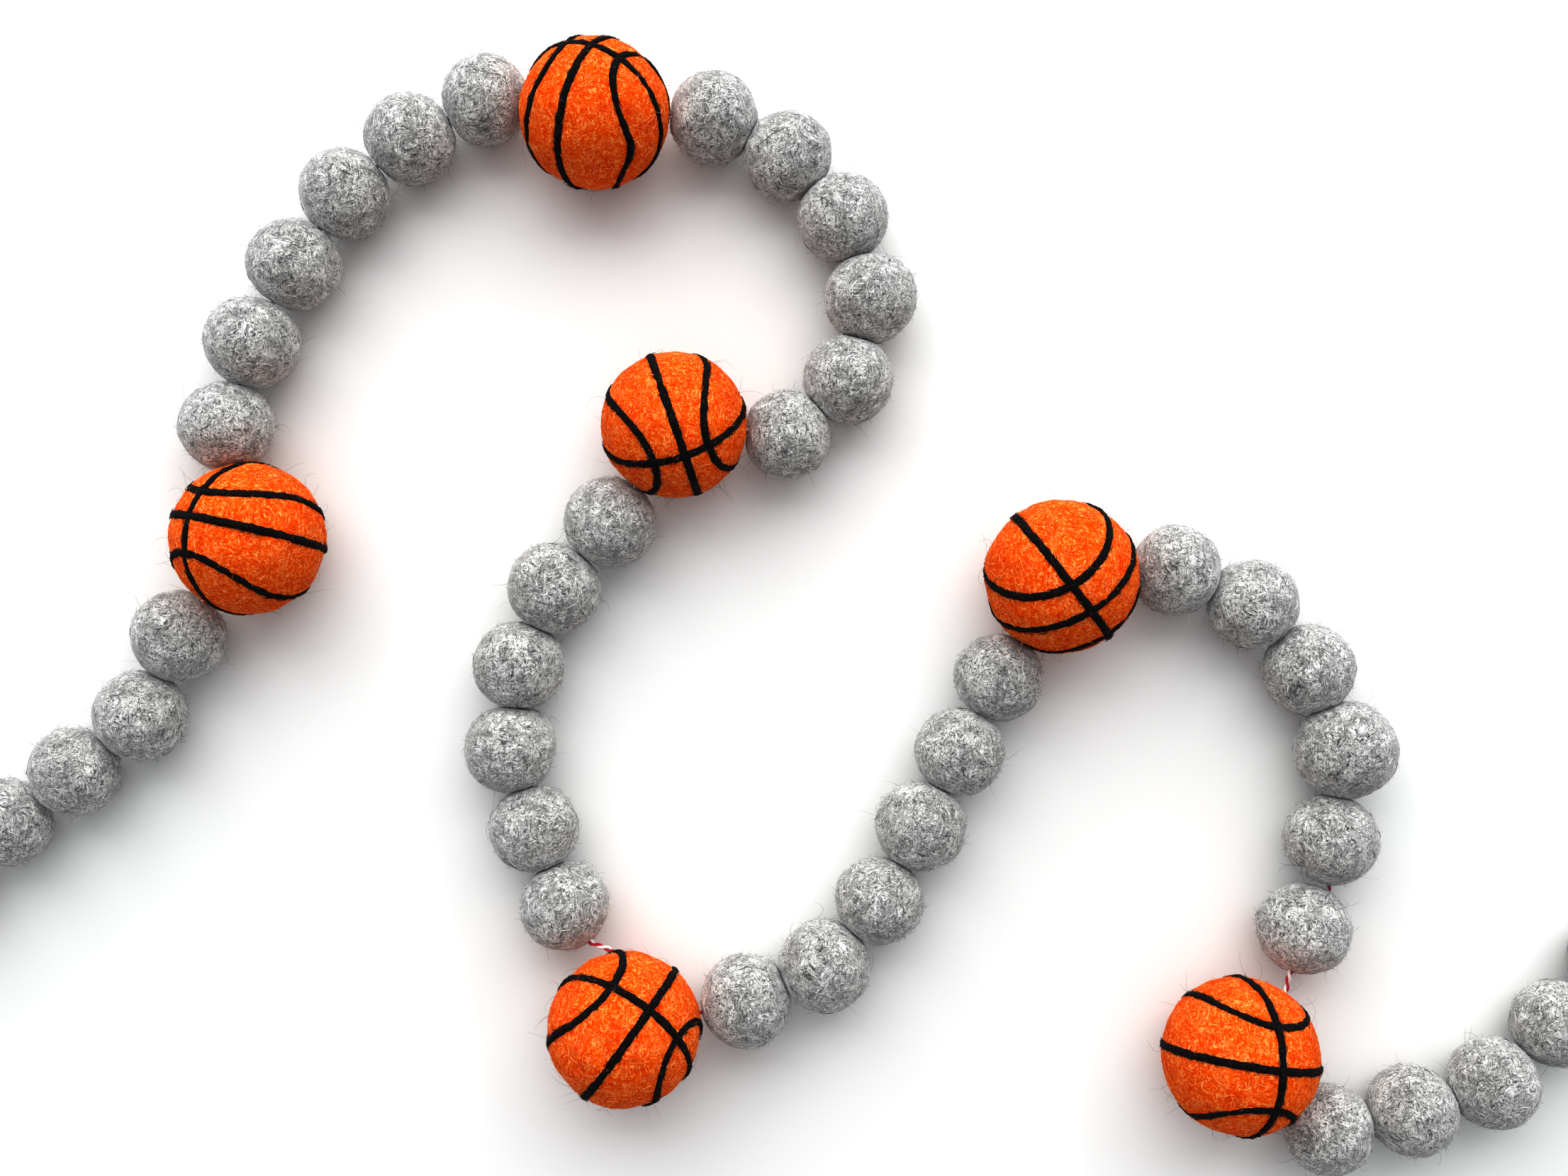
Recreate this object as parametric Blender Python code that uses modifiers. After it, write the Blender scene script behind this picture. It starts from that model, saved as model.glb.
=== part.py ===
"""A garland of felted wool balls on baker's twine, lying in a loose S on a flat surface.

Forty-two small grey balls and six larger orange basketballs, one after every six grey ones. Black wool seam
lines are felted onto each basketball. The twine runs through every ball and ends in a stop knot and a
hanging loop on either side. The origin is on the surface, under the middle of the box that the balls
fill. +X runs from the garland's first ball towards its last, and +Z is up.
"""

import math
from collections import namedtuple

import bmesh
import bpy
from mathutils import Euler, Vector

MM = 0.001

# Balls, in millimetres
GAP = 0.35
FLAT = 0.35
GREY_FLATTENING = 0.945
GREY_SIDES, GREY_RINGS = 12, 6
BASKETBALL_SIDES, BASKETBALL_RINGS = 16, 8
BASKETBALL_INSET = 0.35
BASKETBALL_SINK = 0.6

# Seam lines of black wool, in millimetres
SEAM_WIDE = 2.5
SEAM_FOOT = 0.2
SEAM_PROUD = 0.65
SEAM_THINNING = 0.03
SEAM_STATIONS = 20

# Twine, stop knots and hanging loops, in millimetres
TWINE_ACROSS = 1.6
BORE_CLEARANCE = 0.3
KNOT_LONG = 5.2
KNOT_ACROSS = 4.6
KNOT_WRAPS = 3

# Straight steps between two points of the course, between two of a loop, and of the twine in a basketball
COURSE_STEPS, LOOP_STEPS, BASKETBALL_STEPS = 16, 2, 4

# The garland's course over the surface, in millimetres. A basketball sits at each point marked True.
COURSE = (
    (-263, -100, False),
    (-221, -70, False),
    (-185, -43, False),
    (-167, -28, False),
    (-157, -7, False),
    (-136, 19, True),
    (-144, 49, False),
    (-137, 72, False),
    (-112, 112, False),
    (-74, 137, False),
    (-45, 131, True),
    (-15, 132, False),
    (4, 123, False),
    (19, 108, False),
    (28, 86, False),
    (23, 63, False),
    (6, 47, False),
    (-24, 49, True),
    (-42, 23, False),
    (-57, 5, False),
    (-66, -15, False),
    (-68, -38, False),
    (-54, -78, False),
    (-37, -110, True),
    (-4, -104, False),
    (17, -94, False),
    (32, -75, False),
    (63, -17, False),
    (78, 9, True),
    (108, 11, False),
    (130, 2, False),
    (145, -15, False),
    (155, -38, False),
    (144, -85, False),
    (125, -117, True),
    (151, -139, False),
    (172, -134, False),
    (194, -127, False),
    (226, -95, False),
    (261, -54, False),
)

# Each basketball's width in millimetres and its turn in degrees. Then, in degrees, how far its middle seam lies
# off the ball's middle, how far its long seam slants, and how far its curved seams stay from the ball's middle:
# nearest where they cross the long seam, farthest a quarter turn on
Basketball = namedtuple(
    "Basketball", "across turn middle_off long_slant left_near left_far right_near right_far"
)
BASKETBALLS = (
    Basketball(40.0, (56, 5, 78), 5, 0, 26, 38, 23, 43),
    Basketball(39.5, (-47, 15, 161), 0, 0, 23, 34, 24, 57),
    Basketball(38.5, (58, -2, -161), 0, 0, 25, 46, 20, 43),
    Basketball(40.5, (126, 2, 144), -5, 0, 28, 45, 36, 58),
    Basketball(40.5, (88, -30, 123), 0, -7, 25, 31, 36, 31),
    Basketball(41.0, (106, 6, 82), 0, -6, 31, 45, 31, 53),
)

# Each run of six grey balls, in millimetres: the bare twine after the basketball before it, between its last
# two balls and before the next basketball, then how wide its balls are
Run = namedtuple("Run", "bare_first bare_last_two bare_last across")
RUNS = (
    Run(0, 0, 1.5, (24, 24.5, 23.5, 24, 24.5, 25)),
    Run(0, 0, 0, (25, 25.5, 25, 24.5, 24.5, 24)),
    Run(0, 0, 0, (24.5, 24, 24.5, 25, 24.5, 24)),
    Run(0.5, 0, 4.5, (25, 25, 24.5, 24.5, 24, 24)),
    Run(1, 0, 0, (25, 25, 24, 24.5, 24, 24)),
    Run(0.5, 1.5, 5.5, (24.5, 24.5, 24.5, 27, 25, 25)),
    Run(3, 0, 0, (24, 24.5, 24.5, 23.5, 24.5, 24)),
)

# A hanging loop, as (outwards from the knot, to the side, above the surface) in millimetres
LOOP = (
    (0.3, 1.1, 12.0),
    (4, 1.9, 11.3),
    (8, 3, 8.2),
    (12, 4.3, 4),
    (16.5, 6, 1.3),
    (22, 8, 0.85),
    (31, 10.5, 0.85),
    (40, 11, 0.85),
    (47, 8, 0.85),
    (50, 2, 0.85),
    (48.5, -4.5, 0.85),
    (42, -8.5, 0.85),
    (32, -9, 0.85),
    (22.5, -7.2, 0.85),
    (17, -5.8, 1.2),
    (12.5, -4.4, 3.8),
    (8.5, -3.1, 7.8),
    (4, -1.9, 11.1),
    (0.3, -1.1, 12.0),
)

Ball = namedtuple("Ball", "name centre across along basketball")


def smooth(points, steps):
    """Points along a smooth curve through these ones, with this many steps between each two."""
    ends = [2 * points[0] - points[1]] + list(points) + [2 * points[-1] - points[-2]]
    found = []
    for before, start, end, after in zip(ends, ends[1:], ends[2:], ends[3:]):
        for step in range(steps):
            t = step / steps
            found.append(
                0.5
                * (
                    2 * start
                    + (end - before) * t
                    + (2 * before - 5 * start + 4 * end - after) * t**2
                    + (3 * start - before - 3 * end + after) * t**3
                )
            )
    return found + [points[-1]]


def lengths_along(line):
    """How far along the line each of its points is."""
    found = [0.0]
    for start, end in zip(line, line[1:]):
        found.append(found[-1] + (end - start).length)
    return found


def point_at(line, lengths, length):
    """The point this far along the line."""
    for start, end, low, high in zip(line, line[1:], lengths, lengths[1:]):
        if length <= high:
            return start.lerp(end, (length - low) / (high - low))
    return line[-1]


def grey_places(run, start, end):
    """How far along the course the middle of each grey ball of a run is, and how long it is.

    The first run has no start and the last no end, and there each ball keeps its usual flattening.
    """
    bare = run.bare_first + run.bare_last_two + run.bare_last
    if start is None or end is None:
        longs = [GREY_FLATTENING * across + GAP for across in run.across]
    else:
        free = end - start - bare
        longs = [free * across / sum(run.across) for across in run.across]
    if start is None:
        start = end - bare - sum(longs)
    places = []
    here = start + run.bare_first
    for number, long in enumerate(longs):
        if number == len(longs) - 1:
            here += run.bare_last_two
        places.append((here + long / 2, long))
        here += long
    return places


def lay_out():
    """All the balls in order along the twine, in millimetres."""
    line = smooth([Vector((x, y, 0)) for x, y, _ in COURSE], COURSE_STEPS)
    lengths = lengths_along(line)
    middles = [lengths[n * COURSE_STEPS] for n, point in enumerate(COURSE) if point[2]]
    faces = [(m - b.across / 2, m + b.across / 2) for m, b in zip(middles, BASKETBALLS)]
    starts = [None] + [after for _, after in faces]
    ends = [before for before, _ in faces] + [None]
    balls = []
    for number, run in enumerate(RUNS):
        places = grey_places(run, starts[number], ends[number])
        for across, (length, along) in zip(run.across, places):
            centre = point_at(line, lengths, length) + Vector((0, 0, across / 2 - FLAT))
            name = f"grey_ball_{len(balls) - number + 1:02d}"
            balls.append(Ball(name, centre, across, along, None))
        if number < len(BASKETBALLS):
            kind = BASKETBALLS[number]
            centre = point_at(line, lengths, middles[number])
            centre.z = kind.across / 2 - BASKETBALL_SINK
            balls.append(Ball(f"basketball_{number + 1}", centre, kind.across, kind.across, kind))
    return balls


def joint_between(first, second):
    """The point where two neighbours would meet, and the direction from the first to the second."""
    apart = second.centre - first.centre
    reach = SEAM_PROUD + GAP / 2
    if first.basketball:
        part = (first.across / 2 + reach) / apart.length
    elif second.basketball:
        part = 1 - (second.across / 2 + reach) / apart.length
    else:
        part = first.along / (first.along + second.along)
    return first.centre + part * apart, apart.normalized()


def heading(balls, number):
    """The level direction of the twine at this ball."""
    before = balls[max(number - 1, 0)].centre
    after = balls[min(number + 1, len(balls) - 1)].centre
    way = after - before
    way.z = 0
    return way.normalized()


def flattened(ball, way, joints):
    """The ball as long as it can be along the twine without reaching its neighbours."""
    half = ball.along / 2
    for point, across_way in joints:
        room = abs((point - ball.centre).dot(across_way)) - GAP / 2
        lean = min(abs(way.dot(across_way)), 1)
        side = (ball.across / 2) ** 2 * (1 - lean**2)
        half = min(half, math.sqrt((room**2 - side) / lean**2))
    return ball._replace(along=2 * half)


def plain_material(name, colour, roughness):
    """A material of one colour."""
    material = bpy.data.materials.new(name)
    material.use_nodes = True
    shader = material.node_tree.nodes["Principled BSDF"]
    shader.inputs["Base Color"].default_value = (*colour, 1)
    shader.inputs["Roughness"].default_value = roughness
    material.diffuse_color = (*colour, 1)
    return material


def new_object(name, data, collection, material=None):
    """An object of this data in the collection, with its material."""
    obj = bpy.data.objects.new(name, data)
    collection.objects.link(obj)
    if material:
        data.materials.append(material)
    return obj


def unit_ball(name, sides, rings):
    """A ball of radius 1 m whose poles lie on its Z axis, to be scaled to size."""
    mesh = bpy.data.meshes.new(name)
    shape = bmesh.new()
    bmesh.ops.create_uvsphere(shape, u_segments=sides, v_segments=rings, radius=1)
    shape.to_mesh(mesh)
    shape.free()
    mesh.shade_smooth()
    return mesh


def tube(name, points, across):
    """An eight-sided tube of this width in millimetres along the points, with closed ends."""
    data = bpy.data.curves.new(name, "CURVE")
    data.dimensions = "3D"
    data.bevel_depth = across / 2 * MM
    data.bevel_resolution = 2
    data.use_fill_caps = True
    spline = data.splines.new("POLY")
    spline.points.add(len(points) - 1)
    for target, point in zip(spline.points, points):
        target.co = (*(point * MM), 1)
    return data


def as_mesh(curve_object, collection):
    """A mesh object of the curve, welded shut. The curve itself is removed."""
    graph = bpy.context.evaluated_depsgraph_get()
    name = curve_object.name
    mesh = bpy.data.meshes.new_from_object(curve_object.evaluated_get(graph))
    place = curve_object.matrix_world.copy()
    bpy.data.objects.remove(curve_object)
    shape = bmesh.new()
    shape.from_mesh(mesh)
    bmesh.ops.remove_doubles(shape, verts=shape.verts, dist=0.00001)
    bmesh.ops.recalc_face_normals(shape, faces=shape.faces)
    shape.to_mesh(mesh)
    shape.free()
    obj = new_object(name, mesh, collection)
    obj.matrix_world = place
    return obj


def as_cutter(obj):
    """Marks a helper that shapes other pieces and isn't one itself."""
    obj.hide_render = True
    obj.display_type = "WIRE"
    return obj


def cut(obj, cutter, operation="DIFFERENCE"):
    """Cuts or joins the object with another."""
    modifier = obj.modifiers.new(cutter.name, "BOOLEAN")
    modifier.object = cutter
    modifier.operation = operation
    modifier.solver = "EXACT"


def add_ball(ball, way, mesh, collection, cutters):
    """A felted ball with its flat spot and its bore."""
    across = ball.across - (2 * BASKETBALL_INSET if ball.basketball else 0)
    obj = bpy.data.objects.new(ball.name, mesh)
    collection.objects.link(obj)
    obj.location = ball.centre * MM
    obj.rotation_euler = (math.pi / 2, 0, math.atan2(way.x, -way.y))
    long = across if ball.basketball else ball.along
    obj.scale = (across / 2 * MM, across / 2 * MM, long / 2 * MM)
    for cutter in cutters:
        cut(obj, cutter)
    return obj


def seam_ring(name, radius, near, far, thinned, collection):
    """A closed ridge of wool around a ball of this radius.

    It starts as a ring in the XY plane. Each of its points then moves off the ball's middle circle, which is
    at right angles to X, by an angle between near and far. Each ridge is thinned by a different amount at its
    top and its foot, so that no faces coincide where two of them cross.
    """
    bpy.ops.mesh.primitive_torus_add(
        major_segments=SEAM_STATIONS, minor_segments=3, major_radius=1, minor_radius=0.1
    )
    obj = bpy.context.object
    obj.name = name
    for place in obj.users_collection:
        place.objects.unlink(obj)
    collection.objects.link(obj)
    half_wide = SEAM_WIDE / 2 / radius
    for vertex in obj.data.vertices:
        turn = math.atan2(vertex.co.y, vertex.co.x)
        out = math.hypot(vertex.co.x, vertex.co.y) > 1
        side = (vertex.co.z > 0.01) - (vertex.co.z < -0.01)
        away = near + (far - near) * math.sin(turn) ** 2 + side * half_wide
        height = radius + (SEAM_PROUD - thinned if out else SEAM_FOOT + thinned)
        ring = Vector((0, math.cos(turn), math.sin(turn)))
        point = ring * math.cos(away) + Vector((1, 0, 0)) * math.sin(away)
        vertex.co = point * height * MM
    outward_faces(obj.data)
    return obj


def outward_faces(mesh):
    """Turns every face of a closed mesh outwards."""
    shape = bmesh.new()
    shape.from_mesh(mesh)
    bmesh.ops.recalc_face_normals(shape, faces=shape.faces)
    shape.to_mesh(mesh)
    shape.free()


def add_seams(ball, collection, helpers, cutters, material):
    """The four seam lines of a basketball as one network: two crossing rings and two curved loops."""
    kind = ball.basketball
    radius = ball.across / 2
    name = f"{ball.name}_seams"
    off = math.radians(kind.middle_off)
    middle = seam_ring(name, radius, off, off, 0, collection)
    left_near, left_far = math.radians(kind.left_near), math.radians(kind.left_far)
    right_near, right_far = math.radians(kind.right_near), math.radians(kind.right_far)
    rings = [
        seam_ring(f"{name}_left", radius, left_near, left_far, SEAM_THINNING, helpers),
        seam_ring(f"{name}_right", radius, -right_near, -right_far, 2 * SEAM_THINNING, helpers),
        seam_ring(f"{name}_long", radius, 0, 0, 3 * SEAM_THINNING, helpers),
    ]
    turn = Euler([math.radians(angle) for angle in kind.turn], "XYZ")
    quarter = Euler((0, math.pi / 2 - math.radians(kind.long_slant), 0), "XYZ")
    for obj in [middle, *rings]:
        obj.rotation_euler = turn
        obj.location = ball.centre * MM
    rings[2].rotation_euler = (turn.to_matrix() @ quarter.to_matrix()).to_euler("XYZ")
    for ring in rings:
        cut(middle, as_cutter(ring), "UNION")
    for cutter in cutters:
        cut(middle, cutter)
    middle.data.materials.append(material)
    return middle


def twine_course(balls, joints):
    """The points of the twine from end to end: a bend between each two balls and a curve in each basketball."""
    first = balls[0].centre - heading(balls, 0) * (balls[0].along / 2 + GAP)
    last = balls[-1].centre + heading(balls, len(balls) - 1) * (balls[-1].along / 2 + GAP)
    bends = [first] + [point for point, _ in joints] + [last]
    points = []
    for ball, before, after in zip(balls, bends, bends[1:]):
        points.append(before)
        if ball.basketball:
            for step in range(1, BASKETBALL_STEPS):
                t = step / BASKETBALL_STEPS
                points.append(before.lerp(ball.centre, t).lerp(ball.centre.lerp(after, t), t))
    return points + [last]


def knot_profile():
    """Half the outline of a stop knot, as (radius, height) from its top to its foot: one swell for each wrap."""
    inner = TWINE_ACROSS / 2
    points = [(0, KNOT_LONG / 2), (inner, KNOT_LONG / 2)]
    wrap = KNOT_LONG / KNOT_WRAPS
    for number in range(KNOT_WRAPS):
        top = KNOT_LONG / 2 - number * wrap
        points.append((KNOT_ACROSS / 2, top - wrap * 0.35))
        points.append((KNOT_ACROSS / 2, top - wrap * 0.65))
        if number < KNOT_WRAPS - 1:
            points.append((KNOT_ACROSS / 2 * 0.8, top - wrap))
    return points + [(inner, -KNOT_LONG / 2), (0, -KNOT_LONG / 2)]


def add_knot(name, centre, way, collection, material):
    """A stop knot, turned about the twine."""
    mesh = bpy.data.meshes.new(name)
    points = [(radius * MM, 0, height * MM) for radius, height in knot_profile()]
    mesh.from_pydata(points, [(n, n + 1) for n in range(len(points) - 1)], [])
    obj = new_object(name, mesh, collection, material)
    screw = obj.modifiers.new("turned", "SCREW")
    screw.steps = screw.render_steps = 10
    screw.use_merge_vertices = True
    screw.merge_threshold = 0.00001
    obj.location = centre * MM
    obj.rotation_euler = (math.pi / 2, 0, math.atan2(way.x, -way.y))
    return obj


def add_end(side, end, way, collection, material):
    """The stop knot and the hanging loop beyond one end of the twine."""
    knot = end + way * (BORE_CLEARANCE + KNOT_LONG / 2)
    add_knot(f"stop_knot_{side}", knot, way, collection, material)
    start = end + way * (BORE_CLEARANCE + KNOT_LONG)
    across = Vector((-way.y, way.x, 0))
    points = []
    for out, aside, above in LOOP:
        point = start + way * out + across * aside
        point.z = above
        points.append(point)
    data = tube(f"hanging_loop_{side}", smooth(points, LOOP_STEPS), TWINE_ACROSS)
    return new_object(f"hanging_loop_{side}", data, collection, material)


def floor_cutter(collection):
    """A slab that reaches up to the surface, to give each ball its flat spot."""
    bpy.ops.mesh.primitive_cube_add(size=1, location=(0, 0, -0.02))
    slab = bpy.context.object
    slab.name = "surface_cutter"
    slab.scale = (0.8, 0.6, 0.04)
    for place in slab.users_collection:
        place.objects.unlink(slab)
    collection.objects.link(slab)
    return as_cutter(slab)


def new_collection(name):
    """A collection of this name in the scene."""
    collection = bpy.data.collections.new(name)
    bpy.context.scene.collection.children.link(collection)
    return collection


def build():
    """The whole garland."""
    for obj in list(bpy.data.objects):
        bpy.data.objects.remove(obj, do_unlink=True)
    garland = new_collection("felt_ball_garland")
    cutters = new_collection("cutters")

    grey = plain_material("heathered grey wool felt", (0.36, 0.37, 0.36), 0.95)
    orange = plain_material("orange wool felt", (0.86, 0.13, 0.02), 0.9)
    black = plain_material("black wool roving", (0.008, 0.007, 0.008), 0.9)
    twine = plain_material("red and white cotton twine", (0.75, 0.25, 0.27), 0.85)

    balls = lay_out()
    joints = [joint_between(first, second) for first, second in zip(balls, balls[1:])]
    ways = [heading(balls, number) for number in range(len(balls))]
    for number, ball in enumerate(balls):
        near = joints[max(number - 1, 0) : number + 1]
        if not ball.basketball:
            balls[number] = flattened(ball, ways[number], near)

    route = twine_course(balls, joints)
    bore_tube = tube("bore_cutter", route, TWINE_ACROSS + 2 * BORE_CLEARANCE)
    bore = as_cutter(as_mesh(new_object("bore_cutter", bore_tube, cutters), cutters))
    surface = floor_cutter(cutters)

    grey_mesh = unit_ball("grey_ball", GREY_SIDES, GREY_RINGS)
    grey_mesh.materials.append(grey)
    orange_mesh = unit_ball("basketball", BASKETBALL_SIDES, BASKETBALL_RINGS)
    orange_mesh.materials.append(orange)
    for ball, way in zip(balls, ways):
        mesh = orange_mesh if ball.basketball else grey_mesh
        add_ball(ball, way, mesh, garland, (surface, bore))
        if ball.basketball:
            add_seams(ball, garland, cutters, (surface, bore), black)

    new_object("twine", tube("twine", route, TWINE_ACROSS), garland, twine)
    add_end("left", route[0], -ways[0], garland, twine)
    add_end("right", route[-1], ways[-1], garland, twine)


build()
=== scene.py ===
"""Felt ball garland: the wool, the seam lines and the twine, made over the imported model."""

import math
import random
from collections import namedtuple

import bpy
from mathutils import Euler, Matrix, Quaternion, Vector
from mathutils.bvhtree import BVHTree


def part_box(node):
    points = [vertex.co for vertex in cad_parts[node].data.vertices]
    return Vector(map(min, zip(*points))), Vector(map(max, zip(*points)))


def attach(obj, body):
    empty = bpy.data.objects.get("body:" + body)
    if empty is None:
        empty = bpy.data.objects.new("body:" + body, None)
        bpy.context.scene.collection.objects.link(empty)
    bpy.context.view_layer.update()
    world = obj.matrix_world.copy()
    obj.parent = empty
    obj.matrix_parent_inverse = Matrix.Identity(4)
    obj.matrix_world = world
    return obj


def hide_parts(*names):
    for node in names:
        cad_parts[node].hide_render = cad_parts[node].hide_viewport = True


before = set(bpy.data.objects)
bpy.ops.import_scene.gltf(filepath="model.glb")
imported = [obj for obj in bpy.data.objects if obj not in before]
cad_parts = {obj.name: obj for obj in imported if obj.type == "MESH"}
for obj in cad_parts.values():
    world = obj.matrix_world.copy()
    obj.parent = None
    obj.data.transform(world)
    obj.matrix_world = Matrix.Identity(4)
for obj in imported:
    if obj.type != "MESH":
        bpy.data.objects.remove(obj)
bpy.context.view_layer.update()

bl_info = {
    "name": "Felt ball garland",
    "version": (1, 0, 0),
    "blender": (4, 5, 0),
    "location": "View3D > Sidebar > Garland",
    "description": "Grey felt balls and orange felt basketballs on red and white twine",
    "category": "Add Mesh",
}

MM = 0.001
BODY = "root"
UP = Vector((0, 0, 1))

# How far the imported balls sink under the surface
GREY_SINK = 0.35 * MM
BASKETBALL_SINK = 0.6 * MM
# How far a packed basketball lies inside its full size, and how far its orange wool does here
BASKETBALL_INSET = 0.35 * MM
ORANGE_INSET = 0.15 * MM
# Grey balls before each basketball and after the last
RUN = 6
# How much of its width a grey ball keeps along the twine, and how far off a basketball's full size it ends
GREY_SQUEEZE = 0.965
BASKETBALL_CLEARANCE = 0.65 * MM
# A grey ball is pressed flat this far short of where it meets its neighbour, with an edge this soft
PRESS_GAP = 0.05 * MM
PRESS_SOFTNESS = 0.5 * MM

# Loose fibres on a ball: how many, the shortest and the longest in millimetres, the points along one, how
# thick they are beside the usual fibre, and the tones that they take by turns
Fibres = namedtuple("Fibres", "count shortest longest points thickness tones")
# Fibres that lie on the ball and how far they stand off it, then short fuzz, then long stray fibres
Wool = namedtuple("Wool", "lying lift fuzz stray")
GREY_WOOL = Wool(
    lying=Fibres(44, 2.5, 5, 5, 1.5, (0, 0, 1, 2)),
    lift=0.12 * MM,
    fuzz=Fibres(350, 0.9, 2.4, 3, 0.8, (1, 2, 0)),
    stray=Fibres(22, 3, 7.5, 7, 0.8, (1, 2)),
)
ORANGE_WOOL = Wool(
    lying=Fibres(260, 2, 7, 5, 1.2, (0, 0, 1)),
    lift=0.16 * MM,
    fuzz=Fibres(420, 0.8, 2, 3, 0.8, (0, 1)),
    stray=Fibres(90, 3, 9, 7, 0.7, (2,)),
)
# How much thinner a loose fibre is at its free end, and how deep its other end is rooted
FIBRE_THINNING = 0.55
FIBRE_ROOT = 0.15 * MM

# Each basketball's turn. Then how far its middle seam lies off the ball's middle, how far its long seam
# slants, and how far its curved seams stay from the ball's middle, nearest at the long seam and farthest a
# quarter turn on. All in degrees
Basketball = namedtuple("Basketball", "turn middle_off long_slant left_near left_far right_near right_far")
BASKETBALLS = (
    Basketball((56, 5, 78), 5, 0, 26, 38, 23, 43),
    Basketball((-47, 15, 161), 0, 0, 23, 34, 24, 57),
    Basketball((58, -2, -161), 0, 0, 25, 46, 20, 43),
    Basketball((126, 2, 144), -5, 0, 28, 45, 36, 58),
    Basketball((88, -30, 123), 0, -7, 25, 31, 36, 31),
    Basketball((106, 6, 82), 0, -6, 31, 45, 31, 53),
)

# How deep a seam line is needled into the ball
SEAM_ROOT = 0.25 * MM
# Wisps along one seam line and the points along a wisp. The shortest and the longest, and how far one
# drifts sideways, in millimetres. How far from the line's middle they lie, in widths of the line
WISPS = 130
WISP_POINTS = 4
WISP_LONG = (0.4, 2.2)
WISP_DRIFT = 1.35
WISP_SIDE = (0.36, 0.54)

# A stop knot's coil: its length, how far it reaches from the middle, its turns and the steps of its line
KNOT_LONG = 3.6 * MM
KNOT_REACH = 1.45 * MM
KNOT_TURNS = 3
KNOT_STEPS = 48
# How far from the knot's middle its twine ends, and how far off the hanging loop begins
KNOT_END = 2.5 * MM
LOOP_START = 2.6 * MM

# A hanging loop, as (outwards from the knot, to the side, above the surface) in millimetres
LOOP = (
    (0.3, 1.1, 12.0),
    (4, 1.9, 11.3),
    (8, 3, 8.2),
    (12, 4.3, 4),
    (16.5, 6, 1.3),
    (22, 8, 0.85),
    (31, 10.5, 0.85),
    (40, 11, 0.85),
    (47, 8, 0.85),
    (50, 2, 0.85),
    (48.5, -4.5, 0.85),
    (42, -8.5, 0.85),
    (32, -9, 0.85),
    (22.5, -7.2, 0.85),
    (17, -5.8, 1.2),
    (12.5, -4.4, 3.8),
    (8.5, -3.1, 7.8),
    (4, -1.9, 11.1),
    (0.3, -1.1, 12.0),
)

# Where the twine shows between a ball and the one before it: the points that it passes there, in
# millimetres to the right and up from the place where the two balls are nearest
GLIMPSES = {
    "basketball_4": ((0.4, 3.7), (3.2, 2.7), (6.2, 1.6)),
    "grey_ball_36": ((3.1, 1.2), (3, -1.4)),
    "basketball_6": ((3.4, 2.4), (3, -0.4), (2.4, -2.8)),
}

# Length of one straight step of a ply, and the width of a ply beside that of the twine
PLY_STEP = 0.65 * MM
PLY_WIDTH = 0.54

# The photograph's frame: a 40 mm lens, straight above the garland
LENS = 40.0
CAMERA_PLACE = (0.005, 0.006, 0.478)

# A wide window beyond the top of the view, in metres and watts
WINDOW_PLACE = (0, 1.35, 1.05)
WINDOW_AIM = (0, 0, 0)
WINDOW_SIZE = (2.8, 1.9)
WINDOW_POWER = 46
# A room whose walls and ceiling glow most on the window's side
GLOW_SIDE = (0, 0.64, 0.77)
GLOW_BRIGHT = 1.5
GLOW_DIM = 0.36
# The film is contrasty, as a telephone's picture is
FILM_GAMMA = 0.72
# The pale surface reaches far past the view, and lies this far under the balls
FLOOR_SIZE = 12
FLOOR_DROP = 0.05 * MM

Ball = namedtuple("Ball", "name centre across way basketball")


def linear(code):
    """An sRGB hex colour as linear red, green, blue and alpha."""
    channels = [int(code[n : n + 2], 16) / 255 for n in (1, 3, 5)]
    return (*(c / 12.92 if c <= 0.04045 else ((c + 0.055) / 1.055) ** 2.4 for c in channels), 1.0)


class GarlandSizes(bpy.types.PropertyGroup):
    """Sizes of the wool and the twine."""

    lump_height: bpy.props.FloatProperty(
        name="Lump height", description="How far a hand-felted ball strays from round",
        default=1.0 * MM, min=0, unit="LENGTH",
    )
    lump_size: bpy.props.FloatProperty(
        name="Lump size", description="How wide one soft lump of a ball is",
        default=9 * MM, min=MM, unit="LENGTH",
    )
    # A real fibre is about 0.03 mm thick, which is too thin to show
    fibre_thick: bpy.props.FloatProperty(
        name="Fibre thickness", description="Thickness of a loose wool fibre",
        default=0.09 * MM, min=0.01 * MM, unit="LENGTH",
    )
    seam_wide: bpy.props.FloatProperty(
        name="Seam width", description="Width of a black seam line",
        default=2.2 * MM, min=MM, unit="LENGTH",
    )
    seam_high: bpy.props.FloatProperty(
        name="Seam height", description="How far a seam line stands out of the ball",
        default=0.35 * MM, min=0, unit="LENGTH",
    )
    twine_across: bpy.props.FloatProperty(
        name="Twine width", description="Width of the two-ply twine",
        default=1.6 * MM, min=MM, unit="LENGTH",
    )
    twist: bpy.props.FloatProperty(
        name="Twist", description="Length of one full turn of the two plies",
        default=4.8 * MM, min=MM, unit="LENGTH",
    )


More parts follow.
